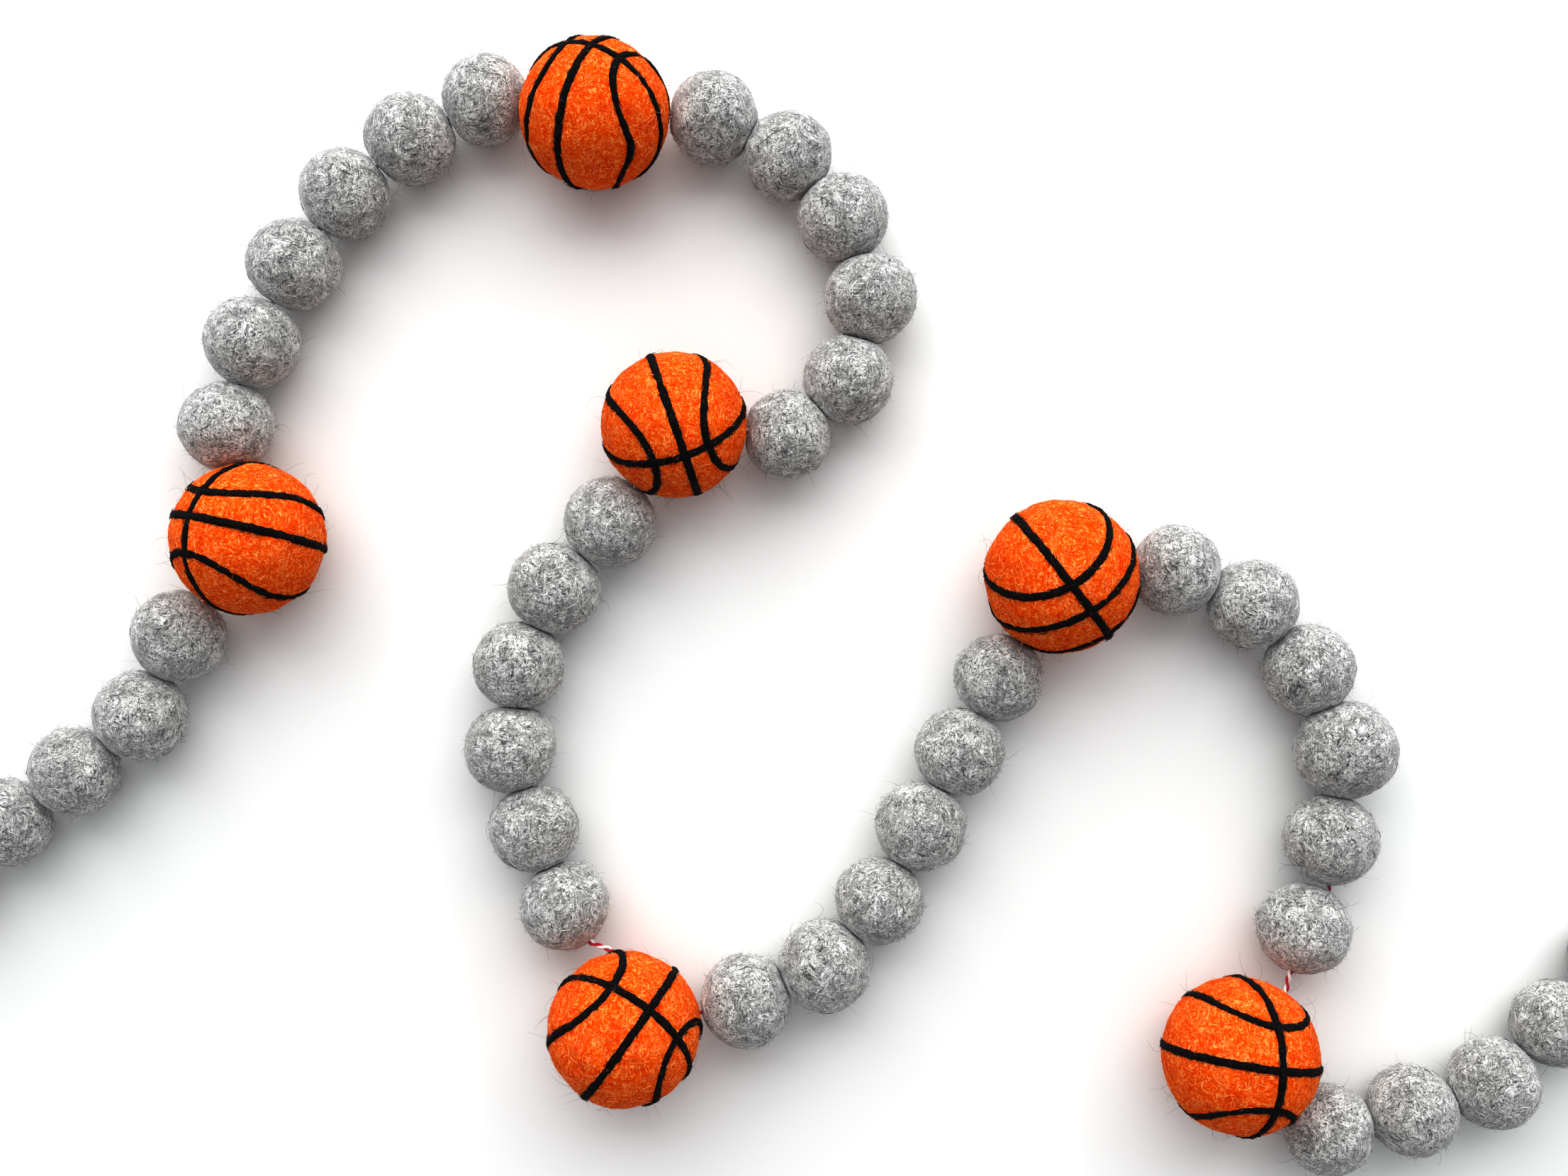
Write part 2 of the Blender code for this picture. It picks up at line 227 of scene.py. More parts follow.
class GarlandColours(bpy.types.PropertyGroup):
    """Colours of the wool and the twine."""

    def colour(name, code):
        return bpy.props.FloatVectorProperty(
            name=name, description=f"{name} of the garland", subtype="COLOR",
            size=4, min=0, max=1, default=linear(code),
        )

    grey_dark: colour("Dark grey wool", "#40403F")
    grey_mid: colour("Mid grey wool", "#A6A6A4")
    grey_light: colour("Light grey wool", "#F2F2F0")
    orange_deep: colour("Deep orange wool", "#DC3C00")
    orange_mid: colour("Orange wool", "#F26600")
    orange_pale: colour("Pale orange wool", "#FCAC68")
    hair: colour("Stray hair", "#4A403A")
    black: colour("Black wool", "#141113")
    black_sheen: colour("Worn black wool", "#403C3E")
    twine_red: colour("Red cotton", "#B81038")
    twine_white: colour("White cotton", "#F4EEEB")
    surface: colour("Surface", "#EAEAE9")


# Shapes


def smooth(points, steps):
    """Points along a smooth curve through these ones, with this many steps between each two."""
    ends = [2 * points[0] - points[1], *points, 2 * points[-1] - points[-2]]
    found = []
    for before, start, end, after in zip(ends, ends[1:], ends[2:], ends[3:]):
        for step in range(steps):
            t = step / steps
            bend = 2 * before - 5 * start + 4 * end - after
            twist = 3 * start - before - 3 * end + after
            found.append(0.5 * (2 * start + (end - before) * t + bend * t**2 + twist * t**3))
    return [*found, points[-1]]


def evenly(points, spacing):
    """The line through these points as points about this far apart."""
    lengths = [0.0]
    for start, end in zip(points, points[1:]):
        lengths.append(lengths[-1] + (end - start).length)
    count = max(round(lengths[-1] / spacing), 2)
    found = []
    part = 0
    for number in range(count + 1):
        length = lengths[-1] * number / count
        while part < len(points) - 2 and lengths[part + 1] < length:
            part += 1
        run = max(lengths[part + 1] - lengths[part], 1e-9)
        found.append(points[part].lerp(points[part + 1], (length - lengths[part]) / run))
    return found


def garland_balls():
    """Every ball in order along the twine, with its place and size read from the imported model."""
    names = []
    for number in range(len(BASKETBALLS) + 1):
        names += [f"grey_ball_{number * RUN + n + 1:02d}" for n in range(RUN)]
        if number < len(BASKETBALLS):
            names.append(f"basketball_{number + 1}")
    places = []
    for name in names:
        low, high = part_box(name)
        middle = (low + high) / 2
        if name.startswith("grey"):
            across = high.z + GREY_SINK
            middle.z = across / 2 - GREY_SINK
        else:
            across = high.z + BASKETBALL_SINK + BASKETBALL_INSET
            middle.z = across / 2 - BASKETBALL_SINK
        places.append((name, middle, across))
    balls = []
    for number, (name, middle, across) in enumerate(places):
        before = places[max(number - 1, 0)][1]
        after = places[min(number + 1, len(places) - 1)][1]
        way = after - before
        way.z = 0
        kind = BASKETBALLS[int(name[-1]) - 1] if name.startswith("basket") else None
        balls.append(Ball(name, middle, across, way.normalized(), kind))
    return balls


def joint_between(first, second):
    """The point where two neighbours meet, and the direction from the first to the second."""
    apart = second.centre - first.centre
    if first.basketball:
        part = (first.across / 2 + BASKETBALL_CLEARANCE) / apart.length
    elif second.basketball:
        part = 1 - (second.across / 2 + BASKETBALL_CLEARANCE) / apart.length
    else:
        part = first.across / (first.across + second.across)
    return first.centre + part * apart, apart.normalized()


def only(obj):
    """Selects this object alone and makes it the active one."""
    bpy.ops.object.select_all(action="DESELECT")
    obj.select_set(True)
    bpy.context.view_layer.objects.active = obj
    return obj


def settle(obj):
    """Moves the object's place, turn and size into its mesh."""
    only(obj)
    bpy.ops.object.transform_apply(location=True, rotation=True, scale=True)
    return obj


def felted(obj, name, height, size, depth=1):
    """Raises and lowers the surface in soft lumps."""
    texture = bpy.data.textures.new(name, "CLOUDS")
    texture.noise_scale = size
    texture.noise_depth = depth
    modifier = obj.modifiers.new(name, "DISPLACE")
    modifier.texture = texture
    modifier.texture_coords = "LOCAL"
    modifier.strength = height
    modifier.mid_level = 0.5
    only(obj)
    bpy.ops.object.modifier_apply(modifier=name)
    bpy.data.textures.remove(texture)
    return obj


def pressed(obj, point, outwards, softness):
    """Flattens what lies beyond a plane, with a rounded edge this soft."""
    for vertex in obj.data.vertices:
        depth = (vertex.co - point).dot(outwards) + softness
        if depth > 0:
            vertex.co -= outwards * (depth - softness * (1 - math.exp(-depth / softness)))
    return obj


def laid_flat(obj):
    """Flattens what would sink under the surface."""
    for vertex in obj.data.vertices:
        vertex.co.z = max(vertex.co.z, 0)
    obj.data.update()
    return obj


def felt_ball(name, ball, divisions, squeeze):
    """A ball of felted wool with soft lumps and no flat places yet."""
    sizes = bpy.context.scene.garland_sizes
    bpy.ops.object.select_all(action="DESELECT")
    bpy.ops.mesh.primitive_ico_sphere_add(
        subdivisions=divisions, radius=ball.across / 2, location=ball.centre
    )
    obj = bpy.context.object
    obj.name = obj.data.name = name
    obj.rotation_euler.z = math.atan2(ball.way.y, ball.way.x)
    obj.scale.x = squeeze
    settle(obj)
    bpy.ops.object.shade_smooth()
    felted(obj, "lumps", sizes.lump_height, sizes.lump_size)
    felted(obj, "dimples", sizes.lump_height / 3, sizes.lump_size / 3)
    return obj


def strand(name, lines, thick, materials, tones, thinning=0.0):
    """Thin closed tubes along these lines as one mesh. The lines take the numbered materials by turns."""
    data = bpy.data.curves.new(name, "CURVE")
    data.dimensions = "3D"
    data.bevel_depth = thick / 2
    data.bevel_resolution = 0
    data.use_fill_caps = True
    for material in materials:
        data.materials.append(material)
    for number, line in enumerate(lines):
        spline = data.splines.new("POLY")
        spline.points.add(len(line) - 1)
        for target, point in zip(spline.points, line):
            target.co = (*point, 1)
        for place, target in enumerate(spline.points):
            target.radius = 1 - thinning * place / (len(line) - 1)
        spline.material_index = tones[number % len(tones)]
    obj = bpy.data.objects.new(name, data)
    bpy.context.scene.collection.objects.link(obj)
    only(obj)
    bpy.ops.object.convert(target="MESH")
    obj = bpy.context.object
    bpy.ops.object.mode_set(mode="EDIT")
    bpy.ops.mesh.select_all(action="SELECT")
    bpy.ops.mesh.remove_doubles(threshold=0.000001)
    bpy.ops.mesh.normals_make_consistent(inside=False)
    bpy.ops.object.mode_set(mode="OBJECT")
    bpy.ops.object.shade_smooth()
    return obj


def direction(rng):
    """Any direction, all equally likely."""
    height = rng.uniform(-1, 1)
    turn = rng.uniform(0, 2 * math.pi)
    level = math.sqrt(1 - height * height)
    return Vector((level * math.cos(turn), level * math.sin(turn), height))


def surface_of(obj):
    """The object's surface, for fibres to be rooted in."""
    return BVHTree.FromObject(obj, bpy.context.evaluated_depsgraph_get())


def on_surface(surface, centre, out):
    """The point of a ball's surface in this direction from its middle, and which way it faces there."""
    point, facing, _, _ = surface.ray_cast(centre + out * 60 * MM, -out)
    return point, facing


def lying_fibre(rng, surface, ball, long, steps, lift):
    """A wavy fibre that lies on a ball with both ends felted in."""
    out = direction(rng)
    along = Quaternion(out, rng.uniform(0, 2 * math.pi)) @ out.orthogonal().normalized()
    bend = rng.uniform(-0.35, 0.35)
    stride = long / (steps - 1) / (ball.across / 2)
    line = []
    for step in range(steps):
        point, facing = on_surface(surface, ball.centre, out)
        rise = lift * (1.6 * math.sin(math.pi * step / (steps - 1)) - 0.6)
        point = point + facing * rise
        point.z = max(point.z, 0.05 * MM)
        line.append(point)
        ahead = Quaternion(out.cross(along), stride)
        out = ahead @ out
        along = Quaternion(out, rng.gauss(bend, 0.35)) @ (ahead @ along)
    return line


def stray_fibre(rng, surface, ball, long, steps):
    """A loose curly fibre, rooted in a ball at one end."""
    out = direction(rng)
    point, facing = on_surface(surface, ball.centre, out)
    aside = Quaternion(facing, rng.uniform(0, 2 * math.pi)) @ facing.orthogonal().normalized()
    heading = (aside + facing * rng.uniform(0.15, 0.9)).normalized()
    curl = Quaternion(direction(rng), rng.uniform(0.15, 0.75))
    point = point - facing * FIBRE_ROOT
    line = []
    for _ in range(steps):
        line.append(point.copy())
        point = point + heading * long / (steps - 1)
        heading = curl @ heading
        point.z = max(point.z, 0.08 * MM)
    return line


def dressed(obj, fibres):
    """Joins the fibres to the piece that they are rooted in."""
    only(obj)
    for fibre in fibres:
        fibre.select_set(True)
    bpy.ops.object.join()
    return obj


def with_loose_wool(obj, rng, ball, wool, tones):
    """Roots loose wool in a ball: fibres that lie on it, short fuzz and long stray fibres."""
    thick = bpy.context.scene.garland_sizes.fibre_thick
    surface = surface_of(obj)
    fibres = []
    for name, kind in (("lying", wool.lying), ("fuzz", wool.fuzz), ("stray", wool.stray)):
        lies = kind is wool.lying
        lines = []
        for _ in range(kind.count):
            long = rng.uniform(kind.shortest, kind.longest) * MM
            if lies:
                lines.append(lying_fibre(rng, surface, ball, long, kind.points, wool.lift))
            else:
                lines.append(stray_fibre(rng, surface, ball, long, kind.points))
        thinning = 0 if lies else FIBRE_THINNING
        fibres.append(strand(name, lines, thick * kind.thickness, tones, kind.tones, thinning))
    return dressed(obj, fibres)


def finished(obj, slot, *nodes):
    """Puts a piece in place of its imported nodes."""
    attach(obj, BODY)
    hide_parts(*nodes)
    return obj


# Materials


def add(tree, kind, sockets=None, **settings):
    """Adds a node with its settings, and with its sockets' values or links."""
    node = tree.nodes.new(kind)
    for name, value in settings.items():
        setattr(node, name, value)
    for name, value in (sockets or {}).items():
        if isinstance(value, bpy.types.NodeSocket):
            tree.links.new(value, node.inputs[name])
        else:
            node.inputs[name].default_value = value
    return node


def new_material(name, roughness, sheen, gloss=0.15):
    """A rough material of this name. Returns it with its node tree and its shader."""
    material = bpy.data.materials.new(name)
    material.use_nodes = True
    shader = material.node_tree.nodes["Principled BSDF"]
    shader.inputs["Roughness"].default_value = roughness
    shader.inputs["Sheen Weight"].default_value = sheen
    shader.inputs["Sheen Roughness"].default_value = 0.6
    shader.inputs["Specular IOR Level"].default_value = gloss
    return material, material.node_tree, shader


# How much longer each layer of a felt's fibres runs one way than the others
RUNS_OF_FIBRES = ((5, 0.8, 1), (1, 5, 0.8), (0.8, 1, 5), (2.4, 0.6, 0.8), (0.6, 2.4, 0.8))
# How wide a curl of the fibres is and how far they sway in it, and how wide a cloud of the ground is
CURL_SIZE = 5 * MM
CURL_SWAY = 4.5 * MM
CLOUD_SIZE = 4.5 * MM


def felt_material(name, tones, cell, thick, depth, ground, pale, roughness, sheen, gloss):
    """Felted wool: layers of curly fibres, one over the other, on a cloudy ground.

    Each layer's fibres are the lines along which a soft noise of this cell size passes through its middle
    value. The greater pale is, the more of them are palest. The tones run from the darkest at 0 to the
    palest at 1, and the ground's lie between its two values. A real fibre, 0.03 mm thick, is too fine to
    show, so the lines are drawn as wide as small locks of wool.
    """
    material, tree, shader = new_material(name, roughness, sheen, gloss)
    place = add(tree, "ShaderNodeTexCoord").outputs["Object"]
    sway = add(tree, "ShaderNodeTexNoise", {"Vector": place, "Scale": 1 / CURL_SIZE, "Detail": 1.0})
    sway = add(
        tree, "ShaderNodeVectorMath", {0: sway.outputs["Color"], 1: (0.5, 0.5, 0.5)}, operation="SUBTRACT"
    )
    swayed = add(
        tree,
        "ShaderNodeVectorMath",
        {0: sway.outputs[0], 1: (CURL_SWAY, CURL_SWAY, CURL_SWAY), 2: place},
        operation="MULTIPLY_ADD",
    )
    cloud = add(tree, "ShaderNodeTexNoise", {"Vector": place, "Scale": 1 / CLOUD_SIZE, "Detail": 2.0})
    clouds = {"Value": cloud.outputs["Fac"], "From Min": 0.35, "From Max": 0.65}
    wool = add(tree, "ShaderNodeMapRange", {**clouds, "To Min": ground[0], "To Max": ground[1]})
    relief = None
    for number, run in enumerate(RUNS_OF_FIBRES):
        laid = add(
            tree,
            "ShaderNodeMapping",
            {"Vector": swayed.outputs[0], "Location": (number, 2 * number, 0), "Scale": Vector(run) * cell},
            vector_type="TEXTURE",
        )
        soft = add(tree, "ShaderNodeTexNoise", {"Vector": laid.outputs[0], "Scale": 1.0, "Detail": 1.0})
        off = add(tree, "ShaderNodeMath", {0: soft.outputs["Fac"], 1: 0.5}, operation="SUBTRACT")
        off = add(tree, "ShaderNodeMath", {0: off.outputs[0]}, operation="ABSOLUTE")
        fibre = add(
            tree,
            "ShaderNodeMapRange",
            {"Value": off.outputs[0], "From Min": 0.0, "From Max": thick, "To Min": 1.0, "To Max": 0.0},
            interpolation_type="SMOOTHSTEP",
        )
        part = add(tree, "ShaderNodeSeparateColor", {"Color": soft.outputs["Color"]})
        shade = add(
            tree,
            "ShaderNodeMapRange",
            {"Value": part.outputs["Green"], "From Min": 0.5 - 0.2 * pale, "From Max": 0.7 - 0.2 * pale},
        )
        layers = {"Factor": fibre.outputs[0], "A": wool.outputs[0], "B": shade.outputs[0]}
        wool = add(tree, "ShaderNodeMix", layers)
        if relief:
            both = {0: relief.outputs[0], 1: fibre.outputs[0]}
            fibre = add(tree, "ShaderNodeMath", both, operation="MAXIMUM")
        relief = fibre
    ramp = add(tree, "ShaderNodeValToRGB", {"Fac": wool.outputs[0]})
    stops = ramp.color_ramp.elements
    for number, (at, colour) in enumerate(tones):
        stop = stops[number] if number < 2 else stops.new(at)
        stop.position = at
        stop.color = colour
    tree.links.new(ramp.outputs["Color"], shader.inputs["Base Color"])
    bump = add(tree, "ShaderNodeBump", {"Height": relief.outputs[0], "Strength": 0.8, "Distance": depth})
    tree.links.new(bump.outputs[0], shader.inputs["Normal"])
    return material


def fibre_material(name, colour):
    """One colour of wool, for loose fibres that are too thin to show a pattern."""
    material, tree, shader = new_material(name, 0.85, 0.1)
    place = add(tree, "ShaderNodeTexCoord").outputs["Object"]
    shade = add(tree, "ShaderNodeTexNoise", {"Vector": place, "Scale": 1 / (2 * MM)})
    tint = add(tree, "ShaderNodeMapRange", {"Value": shade.outputs["Fac"], "To Min": 0.75, "To Max": 1.25})
    mixed = add(tree, "ShaderNodeVectorMath", {0: colour[:3], "Scale": tint.outputs[0]}, operation="SCALE")
    tree.links.new(mixed.outputs[0], shader.inputs["Base Color"])
    return material


def cotton_material(name, colour):
    """Spun cotton: a ply of fine threads, with a shade of unevenness along it."""
    material, tree, shader = new_material(name, 0.8, 0.2)
    place = add(tree, "ShaderNodeTexCoord").outputs["Object"]
    thread = add(tree, "ShaderNodeTexNoise", {"Vector": place, "Scale": 1 / (0.35 * MM), "Detail": 2.0})
    tint = add(tree, "ShaderNodeMapRange", {"Value": thread.outputs["Fac"], "To Min": 0.7, "To Max": 1.2})
    mixed = add(tree, "ShaderNodeVectorMath", {0: colour[:3], "Scale": tint.outputs[0]}, operation="SCALE")
    tree.links.new(mixed.outputs[0], shader.inputs["Base Color"])
    bump = add(
        tree, "ShaderNodeBump", {"Height": thread.outputs["Fac"], "Strength": 0.6, "Distance": 0.12 * MM}
    )
    tree.links.new(bump.outputs[0], shader.inputs["Normal"])
    return material


# Pieces


def twine_course(balls):
    """The points of the twine from end to end: a bend between balls and a curve in each basketball."""
    joints = [joint_between(first, second)[0] for first, second in zip(balls, balls[1:])]
    first = balls[0].centre - balls[0].way * (balls[0].across / 2)
    last = balls[-1].centre + balls[-1].way * (balls[-1].across / 2)
    bends = [first, *joints, last]
    points = []
    for ball, before, after in zip(balls, bends, bends[1:]):
        glimpses = GLIMPSES.get(ball.name, ((0, 0),))
        shown = [before + Vector((right, up, 0)) * MM for right, up in glimpses]
        points += shown
        before = shown[-1]
        if ball.basketball:
            for t in (0.25, 0.5, 0.75):
                points.append(before.lerp(ball.centre, t).lerp(ball.centre.lerp(after, t), t))
    return [*points, last]


def two_ply(name, line, across, twist):
    """Two plies of cotton, one red and one white, laid round each other along this line."""
    line = evenly(line, PLY_STEP)
    plies = []
    for half_turn in (0, math.pi):
        ply = []
        for number, point in enumerate(line):
            ahead = (line[min(number + 1, len(line) - 1)] - line[max(number - 1, 0)]).normalized()
            side = ahead.cross(UP).normalized()
            above = side.cross(ahead)
            turn = half_turn + 2 * math.pi * number * PLY_STEP / twist
            ply.append(point + (side * math.cos(turn) + above * math.sin(turn)) * across / 4)
        plies.append(ply)
    materials = [bpy.data.materials["red spun cotton"], bpy.data.materials["white spun cotton"]]
    return strand(name, plies, across * PLY_WIDTH, materials, (0, 1))


class GARLAND_OT_stage(bpy.types.Operator):
    """A plain pale surface, soft light from the top of the view, and the camera straight above"""

    bl_idname = "garland.stage"
    bl_label = "Stage"

    def execute(self, context):
        colours = context.scene.garland_colours
        bpy.ops.object.select_all(action="DESELECT")
        bpy.ops.mesh.primitive_plane_add(size=FLOOR_SIZE, location=(0, 0, -FLOOR_DROP))
        floor = context.object
        floor.name = "pale_surface"
        paint, _, shader = new_material("matt white board", 0.9, 0.0)
        shader.inputs["Base Color"].default_value = colours.surface
        floor.data.materials.append(paint)

        def light(name, place, aim, size, power, colour):
            data = bpy.data.lights.new(name, "AREA")
            data.shape = "RECTANGLE"
            data.size, data.size_y = size
            data.energy = power
            data.color = colour
            lamp = bpy.data.objects.new(name, data)
            lamp.location = place
            lamp.rotation_euler = (Vector(aim) - Vector(place)).to_track_quat("-Z", "Y").to_euler()
            context.scene.collection.objects.link(lamp)

        light("window", WINDOW_PLACE, WINDOW_AIM, WINDOW_SIZE, WINDOW_POWER, (1.0, 1.0, 0.99))
        world = bpy.data.worlds.new("pale room")
        world.use_nodes = True
        room = world.node_tree
        side = add(room, "ShaderNodeTexCoord").outputs["Generated"]
        near = add(room, "ShaderNodeVectorMath", {0: side, 1: GLOW_SIDE}, operation="DOT_PRODUCT")
        near = add(room, "ShaderNodeMath", {0: near.outputs["Value"], 1: 0}, operation="MAXIMUM")
        near = add(room, "ShaderNodeMath", {0: near.outputs[0], 1: 2}, operation="POWER").outputs[0]
        glow = add(room, "ShaderNodeMapRange", {"Value": near, "To Min": GLOW_DIM, "To Max": GLOW_BRIGHT})
        room.nodes["Background"].inputs["Color"].default_value = (0.96, 0.98, 1.0, 1)
        room.links.new(glow.outputs[0], room.nodes["Background"].inputs["Strength"])
        context.scene.world = world
        context.scene.view_settings.view_transform = "Standard"
        context.scene.view_settings.gamma = FILM_GAMMA

        data = bpy.data.cameras.new("camera")
        data.lens = LENS
        data.sensor_width = 36
        camera = bpy.data.objects.new("camera", data)
        camera.location = CAMERA_PLACE
        context.scene.collection.objects.link(camera)
        context.scene.camera = camera
        return {"FINISHED"}


class GARLAND_OT_hanging_loops(bpy.types.Operator):
    """A loop of twine beyond each end, to hang the garland by"""

    bl_idname = "garland.hanging_loops"
    bl_label = "Hanging loops"

    def execute(self, context):
        sizes = context.scene.garland_sizes
        balls = garland_balls()
        for side, ball, turn in (("left", balls[0], -1), ("right", balls[-1], 1)):
            outwards = ball.way * turn
            low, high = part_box(f"stop_knot_{side}")
            start = (low + high) / 2 + outwards * LOOP_START
            across = Vector((-outwards.y, outwards.x, 0))
            points = []
            for out, aside, above in LOOP:
                point = start + outwards * out * MM + across * aside * MM
                point.z = above * MM
                points.append(point)
            line = evenly(smooth(points, 8), 1.5 * MM)
            loop = two_ply(f"twine_loop_{side}", line, sizes.twine_across, sizes.twist)
            finished(loop, "twine", f"hanging_loop_{side}")
        return {"FINISHED"}


class GARLAND_OT_twine(bpy.types.Operator):
    """Red and white twine through every ball, and the stop knot tied in it at either end"""

    bl_idname = "garland.twine"
    bl_label = "Twine and stop knots"

    def execute(self, context):
        sizes = context.scene.garland_sizes
        balls = garland_balls()
        twine = two_ply("baker_twine", twine_course(balls), sizes.twine_across, sizes.twist)
        finished(twine, "twine", "twine")
        for side, ball, turn in (("left", balls[0], -1), ("right", balls[-1], 1)):
            low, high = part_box(f"stop_knot_{side}")
            middle = (low + high) / 2
            outwards = ball.way * turn
            aside = outwards.cross(UP)
            coil = [middle - outwards * KNOT_END]
            for step in range(KNOT_STEPS + 1):
                t = step / KNOT_STEPS
                angle = 2 * math.pi * KNOT_TURNS * t
                reach = KNOT_REACH * min(1, 8 * t + 0.2, 8 * (1 - t) + 0.2)
                place = middle + outwards * (t - 0.5) * KNOT_LONG
                coil.append(place + (aside * math.cos(angle) + UP * math.sin(angle)) * reach)
            coil.append(middle + outwards * KNOT_END)
            knot = two_ply(f"twine_knot_{side}", coil, sizes.twine_across, sizes.twist)
            finished(knot, "twine", f"stop_knot_{side}")
        return {"FINISHED"}


class GARLAND_OT_grey_balls(bpy.types.Operator):
    """Small balls of heathered grey wool, pressed flat where they meet and where they lie"""

    bl_idname = "garland.grey_balls"
    bl_label = "Grey felt balls"

    def execute(self, context):
        balls = garland_balls()
        felt = bpy.data.materials["heathered grey wool felt"]
        tones = [bpy.data.materials[f"{tone} grey wool fibre"] for tone in ("light", "mid", "dark")]
        for number, ball in enumerate(balls):
            if ball.basketball:
                continue
            rng = random.Random(100 + number)
            obj = felt_ball(ball.name.replace("ball", "felt_ball"), ball, 5, GREY_SQUEEZE)
            near = balls[max(number - 1, 0) : number + 2]
            for first, second in zip(near, near[1:]):
                point, apart = joint_between(first, second)
                outwards = apart if first is ball else -apart
                pressed(obj, point - outwards * PRESS_GAP, outwards, PRESS_SOFTNESS)
            laid_flat(obj)
            obj.data.materials.append(felt)
            with_loose_wool(obj, rng, ball, GREY_WOOL, tones)
            finished(obj, "grey_felt", ball.name)
        return {"FINISHED"}


class GARLAND_OT_basketballs(bpy.types.Operator):
    """Larger balls of orange wool"""

    bl_idname = "garland.basketballs"
    bl_label = "Orange felt basketballs"

    def execute(self, context):
        felt = bpy.data.materials["bright orange wool felt"]
        tones = [
            bpy.data.materials[name]
            for name in ("pale orange wool fibre", "orange wool fibre", "dark brown wool fibre")
        ]
        for number, ball in enumerate(ball for ball in garland_balls() if ball.basketball):
            rng = random.Random(200 + number)
            body = ball._replace(across=ball.across - 2 * ORANGE_INSET)
            obj = laid_flat(felt_ball(f"orange_felt_ball_{number + 1}", body, 5, 1))
            obj.data.materials.append(felt)
            with_loose_wool(obj, rng, ball, ORANGE_WOOL, tones)
            finished(obj, "orange_felt", ball.name)
        return {"FINISHED"}


def seam_place(ball, near, far, turn, across, height):
    """A point over a seam line: this far round the ball, to the side, and from the ball's middle."""
    away = near + (far - near) * math.sin(turn) ** 2 + across / (ball.across / 2)
    ring = Vector((0, math.cos(turn), math.sin(turn)))
    return (ring * math.cos(away) + Vector((1, 0, 0)) * math.sin(away)) * height


def seam_lines(ball):
    """A basketball's middle seam line, its two curved ones and its long one, as (turn, near, far)."""
    kind = ball.basketball
    turn = Euler([math.radians(angle) for angle in kind.turn], "XYZ").to_matrix()
    quarter = Euler((0, math.pi / 2 - math.radians(kind.long_slant), 0), "XYZ").to_matrix()
    off = math.radians(kind.middle_off)
    left = math.radians(kind.left_near), math.radians(kind.left_far)
    right = -math.radians(kind.right_near), -math.radians(kind.right_far)
    return ((turn, off, off), (turn, *left), (turn, *right), (turn @ quarter, 0, 0))


def seam_ring(ball, turn, near, far):
    """One seam line, as a closed band of wool all round the ball."""
    sizes = bpy.context.scene.garland_sizes
    minor = 0.1
    bpy.ops.object.select_all(action="DESELECT")
    bpy.ops.mesh.primitive_torus_add(
        major_segments=150, minor_segments=10, major_radius=1, minor_radius=minor
    )
    ring = bpy.context.object
    for vertex in ring.data.vertices:
        round_ball = math.atan2(vertex.co.y, vertex.co.x)
        out = (math.hypot(vertex.co.x, vertex.co.y) - 1) / minor
        across = vertex.co.z / minor * sizes.seam_wide / 2
        height = ball.across / 2 - SEAM_ROOT + out * (sizes.seam_high + SEAM_ROOT)
        vertex.co = ball.centre + turn @ seam_place(ball, near, far, round_ball, across, height)
    return ring


def seam_wisp(rng, ball, turn, near, far):
    """A short fibre that strays from one edge of a seam line."""
    radius = ball.across / 2
    start = rng.uniform(0, 2 * math.pi)
    side = rng.choice((-1, 1)) * rng.uniform(*WISP_SIDE) * bpy.context.scene.garland_sizes.seam_wide
    drift = rng.uniform(-WISP_DRIFT, WISP_DRIFT) * MM
    long = rng.uniform(*WISP_LONG) * MM / radius
    line = []
    for step in range(WISP_POINTS):
        part = step / (WISP_POINTS - 1)
        lift = radius + 0.12 * MM + 0.2 * MM * math.sin(math.pi * part)
        point = seam_place(ball, near, far, start + long * part, side + drift * (part - 0.5), lift)
        point = ball.centre + turn @ point
        point.z = max(point.z, 0.05 * MM)
        line.append(point)
    return line


class GARLAND_OT_seams(bpy.types.Operator):
    """Black wool roving, needle-felted onto each basketball as its four seam lines"""

    bl_idname = "garland.seams"
    bl_label = "Black wool seam lines"

    def execute(self, context):
        sizes = context.scene.garland_sizes
        wool = bpy.data.materials["black wool roving"]
        for number, ball in enumerate(ball for ball in garland_balls() if ball.basketball):
            rng = random.Random(300 + number)
            rings = []
            lines = []
            for seam in seam_lines(ball):
                rings.append(seam_ring(ball, *seam))
                lines += [seam_wisp(rng, ball, *seam) for _ in range(WISPS)]
            seams = rings[0]
            only(seams)
            for ring in rings[1:]:
                ring.select_set(True)
            bpy.ops.object.join()
            seams.name = seams.data.name = f"black_wool_seams_{number + 1}"
            bpy.ops.object.mode_set(mode="EDIT")
            bpy.ops.mesh.select_all(action="SELECT")
            bpy.ops.mesh.normals_make_consistent(inside=False)
            bpy.ops.object.mode_set(mode="OBJECT")
            bpy.ops.object.shade_smooth()
            felted(seams, "wisps", 0.6 * MM, 1.9 * MM, 2)
            laid_flat(seams)
            seams.data.materials.append(wool)
            tones = [wool, bpy.data.materials["dark grey wool fibre"]]
            wisps = strand("wisps", lines, sizes.fibre_thick * 1.3, tones, (1, *[0] * 11))
            dressed(seams, [wisps])
            finished(seams, "black_wool", f"{ball.name}_seams")
        return {"FINISHED"}


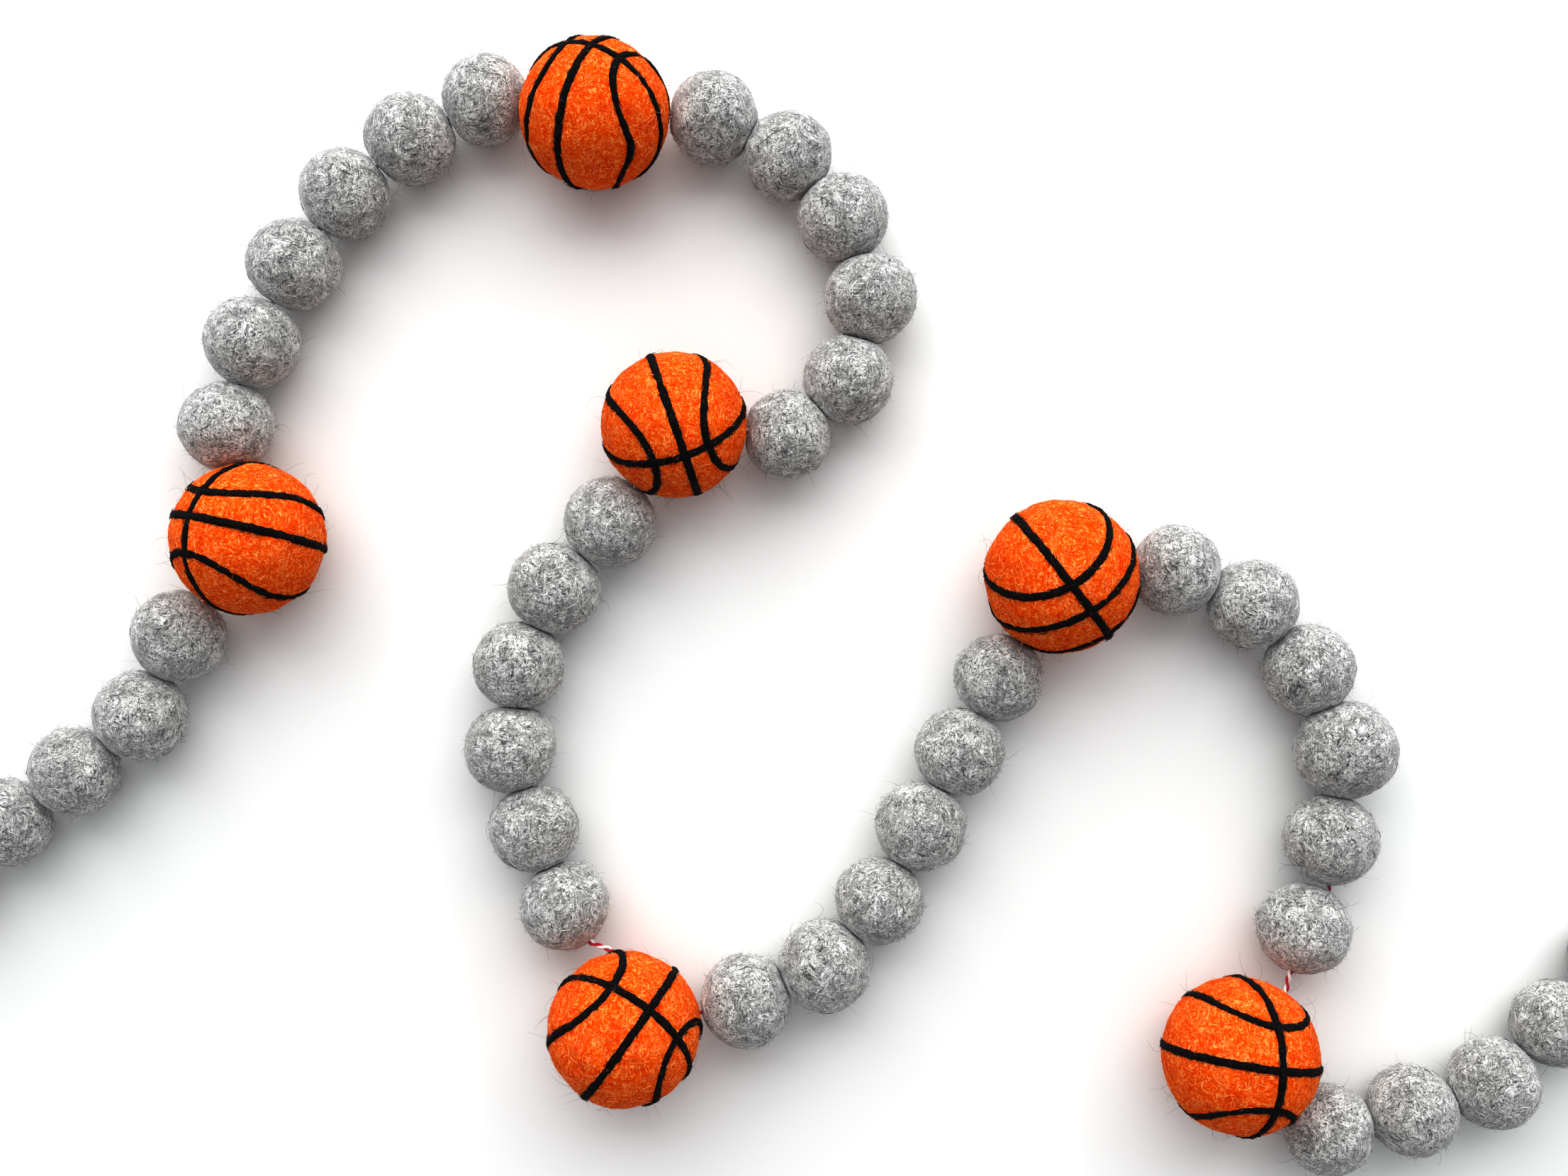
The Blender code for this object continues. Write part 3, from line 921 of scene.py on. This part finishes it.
def make_materials(colours):
    """Every material of the garland."""
    # Carded from white, grey and charcoal fleece and wet-felted: curly fibres, light over dark, quite matt
    felt_material(
        "heathered grey wool felt",
        ((0.0, colours.grey_dark), (1.0, colours.grey_light), (0.5, colours.grey_mid)),
        cell=1.2 * MM, thick=0.04, depth=0.05 * MM, ground=(0.36, 0.82), pale=0.24,
        roughness=0.9, sheen=0.5, gloss=0.05,
    )
    # Dyed before felting: the fibres differ little, so they show as soft pale and deep curls
    felt_material(
        "bright orange wool felt",
        ((0.0, colours.orange_deep), (1.0, colours.orange_pale), (0.55, colours.orange_mid)),
        cell=1 * MM, thick=0.05, depth=0.07 * MM, ground=(0.05, 0.65), pale=0.5,
        roughness=0.8, sheen=0.0, gloss=0.04,
    )
    # Roving pushed in with a barbed needle: dull black, a little greyer where it is worn
    felt_material(
        "black wool roving",
        ((0.0, colours.black), (1.0, colours.black_sheen), (0.7, colours.black)),
        cell=0.8 * MM, thick=0.05, depth=0.1 * MM, ground=(0, 0.3), pale=0.3,
        roughness=0.9, sheen=0.02, gloss=0.08,
    )
    fibre_material("light grey wool fibre", colours.grey_light)
    fibre_material("mid grey wool fibre", colours.grey_mid)
    fibre_material("dark grey wool fibre", colours.grey_dark)
    fibre_material("dark brown wool fibre", colours.hair)
    fibre_material("pale orange wool fibre", colours.orange_pale)
    fibre_material("orange wool fibre", colours.orange_mid)
    # Two plies of soft spun cotton, one dyed red and one bleached, twisted together
    cotton_material("red spun cotton", colours.twine_red)
    cotton_material("white spun cotton", colours.twine_white)


class GARLAND_PT_panel(bpy.types.Panel):
    """The garland's pieces and sizes"""

    bl_idname = "GARLAND_PT_panel"
    bl_label = "Felt ball garland"
    bl_space_type = "VIEW_3D"
    bl_region_type = "UI"
    bl_category = "Garland"

    def draw(self, context):
        for operator in OPERATORS:
            self.layout.operator(operator.bl_idname)
        for group in (context.scene.garland_sizes, context.scene.garland_colours):
            for name in group.__annotations__:
                self.layout.prop(group, name)


OPERATORS = (
    GARLAND_OT_stage,
    GARLAND_OT_hanging_loops,
    GARLAND_OT_twine,
    GARLAND_OT_grey_balls,
    GARLAND_OT_basketballs,
    GARLAND_OT_seams,
)
CLASSES = (GarlandSizes, GarlandColours, *OPERATORS, GARLAND_PT_panel)


def register():
    for each in CLASSES:
        bpy.utils.register_class(each)
    bpy.types.Scene.garland_sizes = bpy.props.PointerProperty(type=GarlandSizes)
    bpy.types.Scene.garland_colours = bpy.props.PointerProperty(type=GarlandColours)


def unregister():
    del bpy.types.Scene.garland_colours
    del bpy.types.Scene.garland_sizes
    for each in reversed(CLASSES):
        bpy.utils.unregister_class(each)


def main():
    """Makes the whole garland on its stage."""
    register()
    bpy.ops.object.select_all(action="DESELECT")
    make_materials(bpy.context.scene.garland_colours)
    bpy.ops.garland.stage()
    bpy.ops.garland.hanging_loops()
    bpy.ops.garland.twine()
    bpy.ops.garland.grey_balls()
    bpy.ops.garland.basketballs()
    bpy.ops.garland.seams()


if __name__ == "__main__":
    main()
